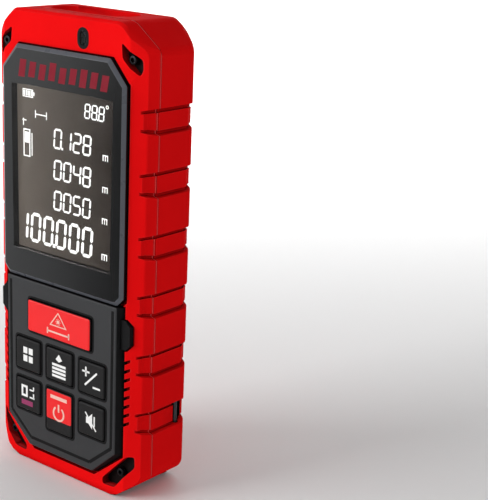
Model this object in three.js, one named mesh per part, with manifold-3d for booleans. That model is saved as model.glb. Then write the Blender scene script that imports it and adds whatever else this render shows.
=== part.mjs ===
// Pocket laser distance meter with a colour housing, sunken display, seven keys,
// USB charging flap, sliding battery cover and a threaded tripod insert.
// Millimetres, +Z up along the length, -Y is the front (display side), +X is the right hand
// seen from the front. The origin is the bottom centre of the standing instrument.
import * as THREE from 'three';
import { ConvexGeometry } from 'three/addons/geometries/ConvexGeometry.js';
import { mergeVertices } from 'three/addons/utils/BufferGeometryUtils.js';
import Module from 'manifold-3d';

const wasm = await Module();
wasm.setup();

// ---------------------------------------------------------------- driving dimensions
const WIDTH = 50;
const HEIGHT = 112;
const GAP = 0.3;                 // running gap between neighbouring pieces

// Corner chamfers of the octagonal body, seen from the front.
const CHAMFER_X = 7.8;
const CHAMFER_Z = 5.8;

// Depth levels, front to back.
const Y_KEY = -11.2;             // top of the measure key, the foremost face
const Y_SMALL_KEY = -10.9;
const Y_PANEL = -10.5;           // display lens and keypad plate
const Y_FACE = -9.2;             // red front face
const Y_LENS_POCKET = -9;        // back of the thin window in the display lens
const Y_LCD = -8.7;              // front of the display glass
const Y_PANEL_SEAT = -7.9;       // ledge the two plates lie on
const Y_FRONT_EDGE = -7.1;       // where the crowned face turns into the side bevel
const Y_FRONT_INNER = -6.6;
const Y_PART = -4.7;             // parting plane of the two shells
const Y_SIDE_END = 5.9;          // rear end of the upright side walls
const Y_BACK_EDGE = 7.3;
const Y_BACK_INNER = 7.6;
const Y_BACK = 9.4;              // flat back face of the rear shell
const Y_LOWER_PLATE = 10.0;
const Y_COVER = 11.2;            // battery cover, the rearmost face

// Half widths of the crowned front and back faces.
const FACE_HALF = 20;
const EDGE_HALF = 23.6;
const BACK_HALF = 19.8;
const BACK_EDGE_HALF = 23.9;

const END_WALL = 2.2;
const CAVITY_HALF = 22.3;

// Display lens and keypad plate.
const LENS_HALF = 19.9;
const LENS_TOP = 104;
const PANEL_SPLIT = 48.2;
const KEYPAD_HALF = 17.3;
const KEYPAD_BEVEL = 2.3;
const KEYPAD_BOTTOM = 6;
const LCD_HALF = 16.3;
const LCD_LOW = 55.4;
const LCD_HIGH = 94.8;

// Grip bands in both sides.
const BAND_CENTRES = [90.9, 76.8, 62.4, 48.6, 34.2, 19.9];
const BAND_HALF = 2.6;
const BAND_DEPTH = 0.6;
const BAND_GROOVE = 0.5;         // how much deeper the groove at each band end is

// Keys: centre x, centre z, width, height.
const KEY_CLEARANCE = 0.45;
const KEY_FLANGE = 1.3;
const Y_KEY_BACK = -6.9;
const KEYS = {
  key_measure: { x: 0, z: 39.4, w: 21, h: 7.9, top: Y_KEY, colour: 0xe8262b },
  key_function: { x: -10.8, z: 28.8, w: 8.3, h: 8.1, top: Y_SMALL_KEY, colour: 0x242426 },
  key_area: { x: 0, z: 28.8, w: 8.8, h: 8.1, top: Y_SMALL_KEY, colour: 0x242426 },
  key_plus_minus: { x: 10.9, z: 28.6, w: 8.3, h: 8.1, top: Y_SMALL_KEY, colour: 0x242426 },
  key_reference: { x: -10.8, z: 18.2, w: 8.3, h: 8.1, top: Y_SMALL_KEY, colour: 0x242426 },
  key_power: { x: 0, z: 16.8, w: 8.8, h: 10.8, top: Y_SMALL_KEY, colour: 0x1c1c1e },
  key_mute: { x: 10.9, z: 18.0, w: 8.3, h: 8.1, top: Y_SMALL_KEY, colour: 0x242426 },
};

// Tripod insert, 1/4 inch thread, on the centre line of the back.
const TRIPOD_Z = 8.8;
const TRIPOD_BORE_RADIUS = 3.2;
const TRIPOD_BODY_RADIUS = 4.4;
const TRIPOD_FLANGE_RADIUS = 5.2;
const TRIPOD_FRONT = 5.2;

// USB recess in the bottom end and its hinged flap.
const USB = { left: -10.2, right: 8.6, front: -3.6, back: 4.4, depth: 5 };
const FLAP_AXIS_X = -9;
const FLAP_AXIS_Z = 0.7;

// Housing screws sit in the corner pockets of the front shell.
const SCREWS = [[18.35, 6.4], [-18.35, 6.4], [20.05, 104.1], [-20.05, 104.1]];
const SCREW_HEAD_RADIUS = 1.05;
const SCREW_SHAFT_RADIUS = 0.7;
const SCREW_HOLE_RADIUS = SCREW_SHAFT_RADIUS + GAP;

// ---------------------------------------------------------------- materials
function plastic(colour, roughness = 0.45, metalness = 0) {
  return new THREE.MeshStandardMaterial({ color: colour, roughness, metalness });
}
const RED = 0xe0181d;
const DARK = 0x3a3b3d;
const BLACK = 0x151516;
const STEEL = 0xb9bcc0;

// ---------------------------------------------------------------- geometry helpers
function solid(geometry) {
  const bare = geometry.clone();
  bare.deleteAttribute('normal');
  bare.deleteAttribute('uv');
  const merged = mergeVertices(bare, 1e-4);
  return new wasm.Manifold(new wasm.Mesh({
    numProp: 3,
    vertProperties: new Float32Array(merged.attributes.position.array),
    triVerts: new Uint32Array(merged.index.array),
  }));
}

function toGeometry(body) {
  const mesh = body.getMesh();
  const geometry = new THREE.BufferGeometry();
  geometry.setAttribute('position', new THREE.BufferAttribute(mesh.vertProperties, mesh.numProp));
  geometry.setIndex(new THREE.BufferAttribute(mesh.triVerts, 1));
  geometry.computeVertexNormals();
  return geometry;
}

function outline(points) {
  return new THREE.Shape(points.map(([a, b]) => new THREE.Vector2(a, b)));
}

// A plate whose outline is drawn in X and Z, lying between two depths.
function plate(shape, yFront, yBack, curveSegments = 6) {
  const geometry = new THREE.ExtrudeGeometry(shape, {
    depth: yBack - yFront,
    bevelEnabled: false,
    curveSegments,
  });
  geometry.rotateX(Math.PI / 2);
  geometry.translate(0, yBack, 0);
  return solid(geometry);
}

// An upright column whose outline is drawn in X and Y.
function column(shape, zLow, zHigh, curveSegments = 6) {
  const geometry = new THREE.ExtrudeGeometry(shape, {
    depth: zHigh - zLow,
    bevelEnabled: false,
    curveSegments,
  });
  geometry.translate(0, 0, zLow);
  return solid(geometry);
}

function box(x0, x1, y0, y1, z0, z1) {
  const geometry = new THREE.BoxGeometry(x1 - x0, y1 - y0, z1 - z0);
  geometry.translate((x0 + x1) / 2, (y0 + y1) / 2, (z0 + z1) / 2);
  return solid(geometry);
}

// A rod along Y.
function rodY(x, z, radius, y0, y1, segments = 20) {
  const geometry = new THREE.CylinderGeometry(radius, radius, y1 - y0, segments);
  geometry.translate(x, (y0 + y1) / 2, z);
  return solid(geometry);
}

// A rod along Z.
function rodZ(x, y, radius, z0, z1, segments = 20) {
  const geometry = new THREE.CylinderGeometry(radius, radius, z1 - z0, segments);
  geometry.rotateX(Math.PI / 2);
  geometry.translate(x, y, (z0 + z1) / 2);
  return solid(geometry);
}

function roundedRect(cx, cy, w, h, r) {
  const shape = new THREE.Shape();
  const left = cx - w / 2;
  const right = cx + w / 2;
  const low = cy - h / 2;
  const high = cy + h / 2;
  shape.moveTo(left + r, low);
  shape.lineTo(right - r, low);
  shape.absarc(right - r, low + r, r, -Math.PI / 2, 0, false);
  shape.lineTo(right, high - r);
  shape.absarc(right - r, high - r, r, 0, Math.PI / 2, false);
  shape.lineTo(left + r, high);
  shape.absarc(left + r, high - r, r, Math.PI / 2, Math.PI, false);
  shape.lineTo(left, low + r);
  shape.absarc(left + r, low + r, r, Math.PI, Math.PI * 1.5, false);
  return shape;
}

function hull(points) {
  return solid(new ConvexGeometry(points.map(([x, y, z]) => new THREE.Vector3(x, y, z))));
}

function union(list) {
  return list.reduce((sum, piece) => sum.add(piece));
}

function mirrored(points) {
  return points.map(([a, b]) => [-a, b]).reverse();
}

// An outline whose corners are rounded off over a given reach.
function softOutline(points, reach) {
  const shape = new THREE.Shape();
  points.forEach(([x, z], index) => {
    const here = new THREE.Vector2(x, z);
    const before = new THREE.Vector2(...points[(index + points.length - 1) % points.length]);
    const after = new THREE.Vector2(...points[(index + 1) % points.length]);
    const start = here.clone().add(before.sub(here).setLength(reach));
    const end = here.clone().add(after.sub(here).setLength(reach));
    if (index === 0) {
      shape.moveTo(start.x, start.y);
    } else {
      shape.lineTo(start.x, start.y);
    }
    shape.quadraticCurveTo(x, z, end.x, end.y);
  });
  return shape;
}

// An octagon with cut corners, as [x, z] points. The lower corners may be cut less deeply.
function octagon(half, zLow, zHigh, cutX, cutZ, cutZLow = cutZ) {
  return [
    [half - cutX, zLow], [half, zLow + cutZLow], [half, zHigh - cutZ], [half - cutX, zHigh],
    [-half + cutX, zHigh], [-half, zHigh - cutZ], [-half, zLow + cutZLow], [-half + cutX, zLow],
  ];
}

function atDepth(points, y) {
  return points.map(([x, z]) => [x, y, z]);
}

// ---------------------------------------------------------------- housing
// The outline of the crowned face at one half width. Its level corners stay above the ends of
// the ridge's, and its upper corners lean in a little further than its lower ones.
function crownOctagon(half, topInset, lean, lowLean) {
  const cutX = half - (WIDTH / 2 - CHAMFER_X);
  const cutZ = CHAMFER_Z * (cutX / CHAMFER_X);
  return octagon(half, 0.1, HEIGHT - topInset, cutX, cutZ + lean, cutZ + lowLean);
}

function outerBody() {
  const ridge = octagon(WIDTH / 2, 0, HEIGHT, CHAMFER_X, CHAMFER_Z);
  return hull([
    ...atDepth(crownOctagon(FACE_HALF, 0.6, 0.6, 0.1), Y_FACE),
    ...atDepth(crownOctagon(EDGE_HALF, 0.1, 1.1, 0.2), Y_FRONT_EDGE),
    ...atDepth([[17.1, 0], [-17.1, 0], [17.1, HEIGHT], [-17.1, HEIGHT]], Y_FACE + 0.6),
    ...atDepth(ridge, Y_PART),
    ...atDepth(ridge, Y_SIDE_END),
    ...atDepth(crownOctagon(BACK_EDGE_HALF, 0.1, 0.6, 0.2), Y_BACK_EDGE),
    ...atDepth([[17, 0], [-17, 0], [17, HEIGHT], [-17, HEIGHT]], Y_BACK - 0.6),
    ...atDepth(crownOctagon(BACK_HALF, 0.6, 0.4, 0.3), Y_BACK),
  ]);
}

function cavity() {
  const middle = octagon(CAVITY_HALF, END_WALL, HEIGHT - END_WALL, 6.6, 4.9);
  return hull([
    ...atDepth(octagon(CAVITY_HALF - 0.8, END_WALL, HEIGHT - END_WALL, 6.4, 4.9), Y_FRONT_INNER),
    ...atDepth(middle, Y_PART),
    ...atDepth(middle, 5.2),
    ...atDepth(octagon(18.4, END_WALL + 0.4, HEIGHT - END_WALL - 0.4, 4, 3.4), Y_BACK_INNER),
  ]);
}

// A side profile slimmer than the body, so that what lies outside it can be cut away.
function slimProfile(sink) {
  const right = [
    [22.9 - sink, -9.5], [23.65 - sink, -6.5], [25 - sink, -4.3], [25 - sink, 5.3],
    [23.9 - sink, 6.9], [22.8 - sink, 9.7],
  ];
  return column(outline([...right, ...mirrored(right)]), 1, HEIGHT - 1);
}

// The same four-sided cutter on both sides of the body.
function sideCutters(points) {
  return [plate(outline(points), -9.4, 9.6), plate(outline(mirrored(points)), -9.4, 9.6)];
}

// The bands lie between sloping ends, and a narrow deeper groove runs along each end.
function gripBands() {
  const bands = [];
  const grooves = [];
  for (const z of BAND_CENTRES) {
    const low = z - BAND_HALF;
    const high = z + BAND_HALF;
    bands.push(...sideCutters([
      [21, low + 0.6], [27, low - 0.9], [27, high + 0.9], [21, high - 0.6],
    ]));
    grooves.push(...sideCutters([
      [21, low + 0.6], [27, low - 0.9], [27, low + 0.2], [21, low + 1.1],
    ]));
    grooves.push(...sideCutters([
      [21, high - 1.1], [27, high - 0.2], [27, high + 0.9], [21, high - 0.6],
    ]));
  }
  return union(bands).subtract(slimProfile(BAND_DEPTH))
    .add(union(grooves).subtract(slimProfile(BAND_DEPTH + BAND_GROOVE)));
}

const body = outerBody().subtract(gripBands());
const space = cavity();
const frontHalf = box(-30, 30, -20, Y_PART - GAP / 2, -5, 120);
const rearHalf = box(-30, 30, Y_PART + GAP / 2, 20, -5, 120);

// Outline of the display lens, grown by a margin.
function lensOutline(margin, low) {
  const half = LENS_HALF + margin;
  const top = LENS_TOP + margin;
  return [
    [half, low + 2], [half, top - 5.5], [half - 5, top], [-half + 5, top],
    [-half, top - 5.5], [-half, low + 2], [-half + 2, low], [half - 2, low],
  ];
}

// Outline of the keypad plate at a given half width and bottom height.
function keypadOutline(half, low, top) {
  return [
    [10.5, low], [half, low + 6.1 + (half - KEYPAD_HALF) * 0.5], [half, top],
    [-half, top], [-half, low + 6.1 + (half - KEYPAD_HALF) * 0.5], [-10.5, low],
  ];
}

function cornerPocket(depth) {
  const lower = [[13.4, 2.1], [17.2, 2.4], [22.4, 8.6], [22.3, 11.4], [20.6, 11.2], [13.2, 3.6]];
  const upper = [[17.5, 107.6], [17.8, 104.2], [22, 100.7], [22.6, 102], [22.5, 104.3]];
  return union([lower, upper].flatMap((points) => [
    plate(softOutline(points, 0.65), -12, depth, 3),
    plate(softOutline(mirrored(points), 0.65), -12, depth, 3),
  ]));
}

const SERRATION_COUNT = 8;
const SERRATION_PITCH = 2.2;

// Slanting notches in the inner rim of the front shell, beside the lower keys.
function serration() {
  const notches = [];
  for (let i = 0; i < SERRATION_COUNT; i += 1) {
    const z = 18.6 + i * SERRATION_PITCH;
    const notch = [[19.5, z], [21.1, z + 0.9], [21.1, z + 1.6], [19.5, z + 0.9]];
    notches.push(plate(outline(notch), -12, -8.3));
    notches.push(plate(outline(mirrored(notch)), -12, -8.3));
  }
  return union(notches);
}

// Side tabs of the keypad plate fill a window in the rim of the front shell.
function sideTabs(margin, yFront, yBack) {
  const tab = [
    [17, 37.8 - margin], [20.1 + margin, 37.8 - margin], [21.5 + margin, 39.2],
    [21.5 + margin, 43.6], [20.1 + margin, 45 + margin], [17, 45 + margin],
  ];
  return plate(outline(tab), yFront, yBack).add(plate(outline(mirrored(tab)), yFront, yBack));
}

const STATUS = { x: 5.7, z: 107.3 };

function frontShell() {
  const openings = union([
    plate(outline(lensOutline(GAP, PANEL_SPLIT - 1)), -12, Y_PANEL_SEAT),
    plate(outline(keypadOutline(KEYPAD_HALF + KEYPAD_BEVEL + GAP, 3.5, PANEL_SPLIT)), -12,
      Y_PANEL_SEAT),
    box(-LCD_HALF - GAP, LCD_HALF + GAP, -10, -5, LCD_LOW - GAP, LCD_HIGH + GAP),
    plate(outline(keypadOutline(16.1, 8.2, 45)), -9, -5),
    plate(roundedRect(STATUS.x, STATUS.z, 3.6, 4.8, 1.75), -12, -8),
    cornerPocket(-7.2),
    sideTabs(GAP, -12, -8),
    serration(),
  ]);
  const bosses = union(SCREWS.map(([x, z]) => rodY(x, z, 2.9, -7, Y_PART - GAP / 2)));
  const inside = space.subtract(bosses);
  const holes = union(SCREWS.map(([x, z]) => rodY(x, z, SCREW_HOLE_RADIUS, -8, -4, 16)));
  return body.intersect(frontHalf).subtract(inside).subtract(openings).subtract(holes);
}

const PAD = { inner: 8.3, outer: 13.2, top: 5.6, front: 6 };

function footPad(margin) {
  const y = Y_BACK + 0.5;
  const section = [
    [PAD.front - margin, -margin], [y + margin, -margin], [y + margin, PAD.top + margin],
    [y - 1.2 - margin, PAD.top + margin], [y - 1.2 - margin, 1.2 + margin],
    [PAD.front - margin, 1.2 + margin],
  ];
  const geometry = new THREE.ExtrudeGeometry(outline(section), {
    depth: PAD.outer - PAD.inner + 2 * margin,
    bevelEnabled: false,
  });
  // The section is drawn in Y and Z and swept along X.
  geometry.rotateY(Math.PI / 2);
  geometry.rotateX(Math.PI / 2);
  geometry.translate(PAD.inner - margin, 0, 0);
  return solid(geometry);
}

function mirrorX(piece) {
  return piece.mirror([1, 0, 0]);
}

const SLOT = { front: 2.9, back: 5.9, low: 17.3, high: 22.9, depth: 20.8 };
const BAY = { half: 15.2, low: 32.9, high: 61 };
const LABEL = { half: 14.6, low: 66, high: 104.2 };
const OPTICS = { lensX: -5.6, laserX: 7.2, y: 1.5 };
const DISH = { x: -1.3, rim: 25.6, floor: 22.6, rimDepth: 9.6, floorDepth: 8.4, z: 109.4 };
const LOWER_PLATE_TOP = 31.2;

function lowerPlateOutline(margin) {
  return [
    [18.8 + margin, LOWER_PLATE_TOP + margin], [18.8 + margin, 14 - margin],
    [15.6 + margin, 11.6 - margin], [9.4, 9.6 - margin], [8.2 - margin, 10.2 - margin],
    [7.2 - margin, 15.2 - margin], [-7.2 + margin, 15.2 - margin],
    [-8.2 + margin, 10.2 - margin], [-9.4, 9.6 - margin], [-15.6 - margin, 11.6 - margin],
    [-18.8 - margin, 14 - margin], [-18.8 - margin, LOWER_PLATE_TOP + margin],
  ];
}

// The long dish in the top end, wider at its rim than at its floor.
function topDish() {
  const levels = [
    { length: DISH.floor, depth: DISH.floorDepth, z: DISH.z },
    { length: DISH.rim, depth: DISH.rimDepth, z: HEIGHT + 0.4 },
  ];
  const points = [];
  for (const { length, depth, z } of levels) {
    const rim = roundedRect(DISH.x, OPTICS.y, length, depth, depth / 2 - 0.05).getPoints(8);
    points.push(...rim.map((point) => [point.x, point.y, z]));
  }
  return hull(points);
}

function rearShell() {
  const additions = union([
    // Walls round the USB recess.
    box(USB.left - 1.1, USB.right + 1.1, Y_PART + GAP / 2, USB.back + 1, 0.5, USB.depth + 1.1),
    // Collar round the tripod insert.
    rodY(0, TRIPOD_Z, 6.3, 4.2, Y_LOWER_PLATE, 32),
    // Thicker end wall under the dish.
    box(-15, 12.4, Y_PART + GAP, 6.6, DISH.z - 1.5, HEIGHT - END_WALL + 0.2),
    // Inner wall of the lanyard slot.
    box(19.6, 23.2, SLOT.front - 1, SLOT.back + 1, SLOT.low - 1.4, SLOT.high + 1.4),
    ...SCREWS.map(([x, z]) => rodY(x, z, 2.6, -4.2, 8)),
  ]);
  const cuts = union([
    box(USB.left, USB.right, USB.front, USB.back, -1, USB.depth),
    box(-4.8, 4.8, -1.5, 2.3, 3, 8),
    rodY(FLAP_AXIS_X, FLAP_AXIS_Z, 0.9, USB.front - 0.6, USB.back + 0.6, 14),
    rodY(0, TRIPOD_Z, TRIPOD_BODY_RADIUS + GAP, TRIPOD_FRONT - GAP, 12, 32),
    rodY(0, TRIPOD_Z, TRIPOD_FLANGE_RADIUS + GAP, 9.3 - GAP, 12, 32),
    box(SLOT.depth, 27, SLOT.front, SLOT.back, SLOT.low, SLOT.high),
    rodZ(23.6, (SLOT.front + SLOT.back) / 2, 0.9, SLOT.low - 0.9, SLOT.high + 0.9, 14),
    plate(roundedRect(0, (LABEL.low + LABEL.high) / 2, 2 * LABEL.half, LABEL.high - LABEL.low,
      1), 8.9, 12),
    box(-BAY.half, BAY.half, 6, 12, BAY.low, BAY.high),
    plate(outline(backCornerPocket()), 8.4, 12),
    plate(outline(mirrored(backCornerPocket())), 8.4, 12),
    plate(outline(lowerPlateOutline(GAP)), 8.9, 12),
    footPad(GAP),
    mirrorX(footPad(GAP)),
    topDish(),
    rodZ(OPTICS.lensX, OPTICS.y, 3.9, 106, HEIGHT, 28),
    rodZ(OPTICS.laserX, OPTICS.y, 2.3, 106, HEIGHT, 20),
    ...SCREWS.map(([x, z]) => rodY(x, z, SCREW_HOLE_RADIUS, -5, 4, 16)),
    // Long slot and thumb stop above the battery cover.
    plate(roundedRect(0, 63.6, 18.4, 1, 0.45), 8.8, 12),
    // Guide grooves of the battery cover.
    box(18.1, 19.4, 8.6, 12, 25.4, 62.6),
    box(-19.4, -18.1, 8.6, 12, 25.4, 62.6),
  ]);
  const walls = body.intersect(rearHalf).subtract(space);
  const inside = outerBody().intersect(rearHalf);
  return walls.add(additions.intersect(inside.add(rodY(0, TRIPOD_Z, 6.3, 5, Y_LOWER_PLATE, 32))))
    .subtract(cuts);
}

function backCornerPocket() {
  return [[22.3, 9.8], [22.5, 6.9], [17.6, 3.2], [14.6, 3.2], [14.2, 4.6], [19.2, 9.2]];
}

// ---------------------------------------------------------------- front pieces
function displayLens() {
  const whole = plate(outline(lensOutline(0, PANEL_SPLIT)), Y_PANEL, Y_PANEL_SEAT - GAP);
  const margin = LCD_HALF + GAP;
  return whole.subtract(box(-margin, margin, Y_LENS_POCKET, -8, LCD_LOW - GAP, LCD_HIGH + GAP));
}

const KEY_SEGMENTS = 3;

function keyShape(key, margin) {
  return roundedRect(key.x, key.z, key.w + 2 * margin, key.h + 2 * margin, 0.8 + margin);
}

function keypadPlate() {
  const top = PANEL_SPLIT - GAP;
  const back = Y_PANEL_SEAT - GAP;
  const bevelled = hull([
    ...atDepth(keypadOutline(KEYPAD_HALF, KEYPAD_BOTTOM, top), Y_PANEL),
    ...atDepth(keypadOutline(KEYPAD_HALF + KEYPAD_BEVEL, KEYPAD_BOTTOM - 2.1, top), back),
  ]);
  const holes = union(Object.values(KEYS).map((key) => plate(keyShape(key, KEY_CLEARANCE), -12, -7,
    KEY_SEGMENTS)));
  return bevelled.add(sideTabs(0, -9.3, back)).subtract(holes);
}

function keyCap(key) {
  const stem = plate(keyShape(key, 0), key.top + 0.35, Y_KEY_BACK, KEY_SEGMENTS);
  const crown = plate(keyShape(key, -0.35), key.top, key.top + 0.4, KEY_SEGMENTS);
  const flangeFront = Y_PANEL_SEAT + 0.3;
  const flange = plate(roundedRect(key.x, key.z, key.w + KEY_FLANGE, key.h + KEY_FLANGE, 1),
    flangeFront, Y_KEY_BACK, 2);
  return stem.add(crown).add(flange);
}

// ---------------------------------------------------------------- inner pieces
function keyMat() {
  const sheet = plate(outline(keypadOutline(16.4, 9.2, 45.4)), -6.2, -5.3);
  const domes = union(Object.values(KEYS).map((key) => rodY(key.x, key.z, 2.2, -5.4, -4.9, 10)));
  return sheet.add(domes);
}

function mainBoard() {
  const board = plate(roundedRect(0, 52.4, 40, 70.8, 1.5), -4.3, -3.1);
  return board.subtract(box(-3, 3, -6, 0, 86, 90));
}

function batteryPack() {
  return plate(roundedRect(0, 47, 28.6, 27, 2.2), 0.2, 7.2);
}

function batteryCover() {
  const slab = plate(outline([
    [19.1, 33.6], [19.1, 61.6], [18.1, 62.6], [-18.1, 62.6], [-19.1, 61.6], [-19.1, 33.6],
    [-13.5, 33.6], [-11.4, 31.9], [11.4, 31.9], [13.5, 33.6],
  ]), Y_LOWER_PLATE + GAP, Y_COVER);
  const rails = box(18.4, 19.1, 8.9, 10.5, 40, 61.6).add(box(-19.1, -18.4, 8.9, 10.5, 40, 61.6));
  const lid = plate(roundedRect(0, 51, 33, 20, 1), Y_BACK + GAP, 10.5);
  const grooves = [];
  for (let i = 0; i < 5; i += 1) {
    const z = 38.8 + i * 3.5;
    grooves.push(plate(roundedRect(0, z, 26, 0.9, 0.4), Y_COVER - 0.5, 13, 2));
  }
  const arrow = plate(outline([[-2.2, 59.2], [0, 57], [2.2, 59.2]]), Y_COVER - 0.4, 13);
  return union([slab, rails, lid]).subtract(union(grooves)).subtract(arrow);
}

function lowerBackPlate() {
  return plate(outline(lowerPlateOutline(0)), 8.9 + GAP, Y_LOWER_PLATE);
}

function tripodInsert() {
  const back = Y_LOWER_PLATE + 0.2;
  const flange = 9.3;
  const profile = [
    [TRIPOD_BORE_RADIUS, TRIPOD_FRONT], [TRIPOD_BODY_RADIUS, TRIPOD_FRONT],
    [TRIPOD_BODY_RADIUS, flange], [TRIPOD_FLANGE_RADIUS, flange],
    [TRIPOD_FLANGE_RADIUS, back - 0.3], [TRIPOD_FLANGE_RADIUS - 0.3, back],
    [TRIPOD_BORE_RADIUS + 0.5, back], [TRIPOD_BORE_RADIUS, back - 0.5],
    [TRIPOD_BORE_RADIUS, TRIPOD_FRONT],
  ];
  const geometry = new THREE.LatheGeometry(profile.map(([r, y]) => new THREE.Vector2(r, y)), 32);
  geometry.translate(0, 0, TRIPOD_Z);
  return solid(geometry);
}

function receiverLens() {
  const profile = [[0, 0], [3.6, 0], [3.6, 1.5], [2.6, 2], [1.3, 2.3], [0, 2.4]];
  const geometry = new THREE.LatheGeometry(profile.map(([r, z]) => new THREE.Vector2(r, z)), 28);
  geometry.rotateX(Math.PI / 2);
  geometry.translate(OPTICS.lensX, OPTICS.y, 107.2);
  return solid(geometry);
}

function opticsFrame() {
  const block = box(-15, 15, -2.6, 6.8, 88.6, 106.9);
  const bores = union([
    rodZ(OPTICS.lensX, OPTICS.y, 3.4, 90.4, 109, 24),
    rodZ(OPTICS.laserX, OPTICS.y, 3.3, 80, 109, 20),
    box(-12, 2, -0.8, 3.8, 80, 90.5),
  ]);
  return block.subtract(bores);
}

function usbFlap() {
  const thickness = 1.4;
  const panel = column(outline([
    [-7.9, USB.front + GAP], [6.4, USB.front + GAP], [8.3, -1.6], [8.3, 2.4],
    [6.4, USB.back - GAP], [-7.9, USB.back - GAP],
  ]), 0, thickness);
  const knuckle = rodY(FLAP_AXIS_X, FLAP_AXIS_Z, 0.62, USB.front - 0.3, USB.back + 0.3, 14);
  const arm = box(FLAP_AXIS_X, -7.5, USB.front + GAP, USB.back - GAP, 0.3, 1.1);
  return union([panel, knuckle, arm]);
}

function usbFlapSeal() {
  const outer = column(roundedRect(0, 0.4, 13.6, 5.8, 1), 1.7, 3.2);
  return outer.subtract(column(roundedRect(0, 0.4, 10.6, 3.6, 0.8), 2.2, 6));
}

function usbSocket() {
  const shell = column(roundedRect(0, 0.4, 8.9, 3.2, 1.3), 4, 11);
  return shell.subtract(column(roundedRect(0, 0.4, 7.9, 2.2, 0.9), 3, 10));
}

function housingScrew(x, z) {
  const profile = [
    [0, -8.5], [SCREW_HEAD_RADIUS - 0.3, -8.5], [SCREW_HEAD_RADIUS, -8.2],
    [SCREW_HEAD_RADIUS, -7.5], [SCREW_SHAFT_RADIUS, -7.5], [SCREW_SHAFT_RADIUS, 2.6], [0, 3.4],
  ];
  const geometry = new THREE.LatheGeometry(profile.map(([r, y]) => new THREE.Vector2(r, y)), 18);
  geometry.translate(x, 0, z);
  const slot = box(x - 0.7, x + 0.7, -9, -8.1, z - 0.16, z + 0.16);
  const cross = box(x - 0.16, x + 0.16, -9, -8.1, z - 0.7, z + 0.7);
  return solid(geometry).subtract(slot).subtract(cross);
}

// ---------------------------------------------------------------- assembly
const group = new THREE.Group();

function add(name, piece, material) {
  const mesh = new THREE.Mesh(toGeometry(piece), material);
  mesh.name = name;
  group.add(mesh);
}

add('front_shell', frontShell(), plastic(RED, 0.4));
add('rear_shell', rearShell(), plastic(RED, 0.4));
add('display_lens', displayLens(), plastic(0x2c2e30, 0.12));
add('keypad_plate', keypadPlate(), plastic(DARK, 0.5));
for (const [name, key] of Object.entries(KEYS)) {
  add(name, keyCap(key), plastic(key.colour, 0.55));
}
add('status_window', plate(roundedRect(STATUS.x, STATUS.z, 3, 4.2, 1.45), -9.1, -8.3),
  plastic(0x55595c, 0.2));
add('lcd_module', box(-LCD_HALF, LCD_HALF, Y_LCD, -6.4, LCD_LOW, LCD_HIGH), plastic(0x4a443f, 0.25));
add('lcd_backlight', box(-LCD_HALF, LCD_HALF, -6.1, -5.1, LCD_LOW, LCD_HIGH),
  plastic(0xe9ecec, 0.5));
add('key_mat', keyMat(), plastic(0x3f4143, 0.8));
add('main_board', mainBoard(), plastic(0x1f6b3c, 0.5));
add('signal_shield', box(-9, 9, -2.8, -0.8, 64, 82), plastic(STEEL, 0.35, 0.9));
add('processor_chip', box(-5, 5, -2.8, -1.8, 50, 60), plastic(BLACK, 0.5));
add('buzzer', rodY(12, 26, 4.5, -2.8, 0.2, 20), plastic(BLACK, 0.5));
add('battery_connector', box(-14, -8, -2.8, 0, 24, 28), plastic(0xe8e6dc, 0.6));
add('battery_pack', batteryPack(), plastic(0x3c6fb0, 0.5));
add('battery_cover', batteryCover(), plastic(RED, 0.42));
add('lower_back_plate', lowerBackPlate(), plastic(RED, 0.42));
add('label_plate', plate(roundedRect(0, (LABEL.low + LABEL.high) / 2, 2 * (LABEL.half - GAP),
  LABEL.high - LABEL.low - 2 * GAP, 0.8), 9.2, 9.6), plastic(0x4a4b4d, 0.6));
add('tripod_insert', tripodInsert(), plastic(STEEL, 0.3, 1));
add('optics_frame', opticsFrame(), plastic(BLACK, 0.6));
add('receiver_lens', receiverLens(), plastic(0x5a2a2c, 0.08));
add('laser_module', rodZ(OPTICS.laserX, OPTICS.y, 3, 92, 106.6, 20), plastic(0xc9a24a, 0.3, 1));
add('laser_window', rodZ(OPTICS.laserX, OPTICS.y, 2, 108.0, 109.2, 20), plastic(0xb8c4c8, 0.1));
add('detector_board', box(-11.6, 1.6, -0.5, 3.5, 89, 90.1), plastic(0x1f6b3c, 0.5));
add('usb_board', box(-9, 9, 2.6, 3.7, 6.6, 16), plastic(0x1f6b3c, 0.5));
add('usb_socket', usbSocket(), plastic(STEEL, 0.3, 1));
add('usb_flap', usbFlap(), plastic(RED, 0.45));
add('usb_flap_seal', usbFlapSeal(), plastic(BLACK, 0.85));
add('foot_pad_right', footPad(0), plastic(0x8c8e90, 0.8));
add('foot_pad_left', mirrorX(footPad(0)), plastic(0x8c8e90, 0.8));
add('lanyard_pin', rodZ(23.6, (SLOT.front + SLOT.back) / 2, 0.6, SLOT.low - 0.6,
  SLOT.high + 0.6, 14), plastic(STEEL, 0.3, 1));
SCREWS.forEach(([x, z], index) => {
  add(`housing_screw_${index + 1}`, housingScrew(x, z), plastic(0x2a2a2c, 0.35, 0.8));
});

export default group;
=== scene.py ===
"""Looks for a pocket laser distance meter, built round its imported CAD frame.

Metres, +Z up along the instrument, -Y the display side, +X its right-hand side.
"""
import math
import random

import bmesh
import bpy
from mathutils import Matrix, Vector


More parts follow.
